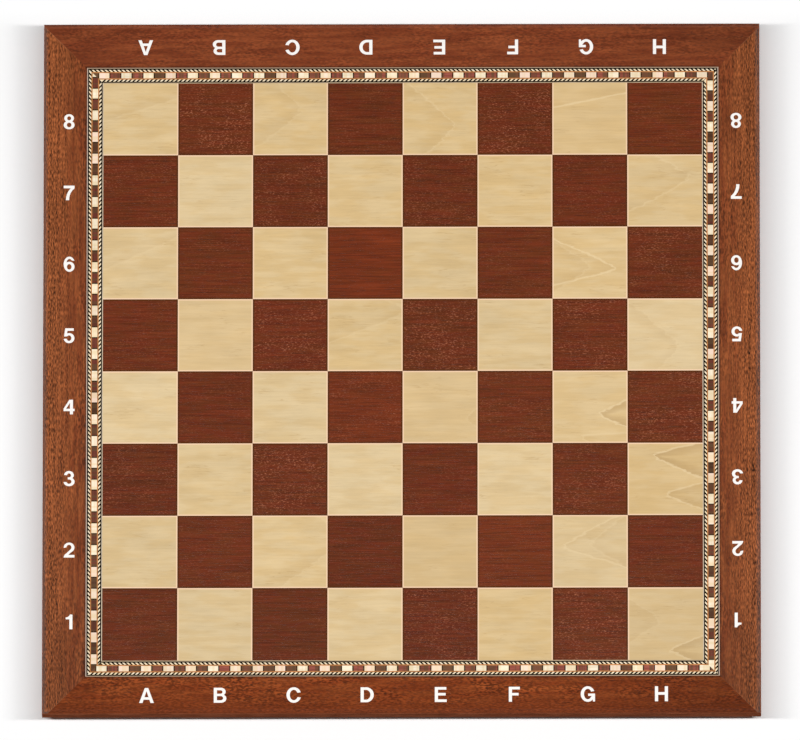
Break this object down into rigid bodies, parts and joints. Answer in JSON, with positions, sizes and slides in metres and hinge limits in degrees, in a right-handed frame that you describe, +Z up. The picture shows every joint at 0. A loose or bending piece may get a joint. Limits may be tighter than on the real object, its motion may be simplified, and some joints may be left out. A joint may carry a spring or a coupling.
{
  "type": "chessboard",
  "caption": "Square inlaid wooden chessboard: lipped panel with a chequered veneer field, rope-and-block banding and a mitred frame, resting on felt pads.",
  "frame": {"origin": "middle of the board, on the surface that the felt pads stand on", "axes": "+Z up out of the playing face; +Y to the far side, rank 8; +X to the right, file H, for a player who sits at the front, on the -Y side"},
  "size_m": [0.4784, 0.4784, 0.0152],
  "materials": {
    "core_fibreboard": "raw fibreboard, hidden inside",
    "edge_lipping": "satin lacquer",
    "back_veneer": "satin lacquer",
    "frame_veneer": "satin lacquer",
    "dark_square": "satin lacquer",
    "light_square": "satin lacquer",
    "white_holly": "satin lacquer",
    "black_dyed_wood": "satin lacquer",
    "orange_wood": "satin lacquer",
    "cream_maple": "satin lacquer",
    "brown_walnut": "satin lacquer",
    "green_felt": "wool felt"
  },
  "bodies": {
    "root": {"core_panel": "core_fibreboard", "back_veneer_left": "back_veneer", "back_veneer_right": "back_veneer", "felt_pads": "green_felt", "lipping_front": "edge_lipping", "frame_veneer_front": "frame_veneer", "white_lines_front": "white_holly", "black_lines_front": "black_dyed_wood", "orange_lines_front": "orange_wood", "rope_black_front": "black_dyed_wood", "rope_cream_front": "cream_maple", "blocks_light_front": "cream_maple", "blocks_brown_front": "brown_walnut", "block_spacers_front": "black_dyed_wood", "lipping_right": "edge_lipping", "frame_veneer_right": "frame_veneer", "white_lines_right": "white_holly", "black_lines_right": "black_dyed_wood", "orange_lines_right": "orange_wood", "rope_black_right": "black_dyed_wood", "rope_cream_right": "cream_maple", "blocks_light_right": "cream_maple", "blocks_brown_right": "brown_walnut", "block_spacers_right": "black_dyed_wood", "lipping_back": "edge_lipping", "frame_veneer_back": "frame_veneer", "white_lines_back": "white_holly", "black_lines_back": "black_dyed_wood", "orange_lines_back": "orange_wood", "rope_black_back": "black_dyed_wood", "rope_cream_back": "cream_maple", "blocks_light_back": "cream_maple", "blocks_brown_back": "brown_walnut", "block_spacers_back": "black_dyed_wood", "lipping_left": "edge_lipping", "frame_veneer_left": "frame_veneer", "white_lines_left": "white_holly", "black_lines_left": "black_dyed_wood", "orange_lines_left": "orange_wood", "rope_black_left": "black_dyed_wood", "rope_cream_left": "cream_maple", "blocks_light_left": "cream_maple", "blocks_brown_left": "brown_walnut", "block_spacers_left": "black_dyed_wood", "dark_squares_rank_1": "dark_square", "light_squares_rank_1": "light_square", "dark_squares_rank_2": "dark_square", "light_squares_rank_2": "light_square", "dark_squares_rank_3": "dark_square", "light_squares_rank_3": "light_square", "dark_squares_rank_4": "dark_square", "light_squares_rank_4": "light_square", "dark_squares_rank_5": "dark_square", "light_squares_rank_5": "light_square", "dark_squares_rank_6": "dark_square", "light_squares_rank_6": "light_square", "dark_squares_rank_7": "dark_square", "light_squares_rank_7": "light_square", "dark_squares_rank_8": "dark_square", "light_squares_rank_8": "light_square"}
  },
  "joints": []
}
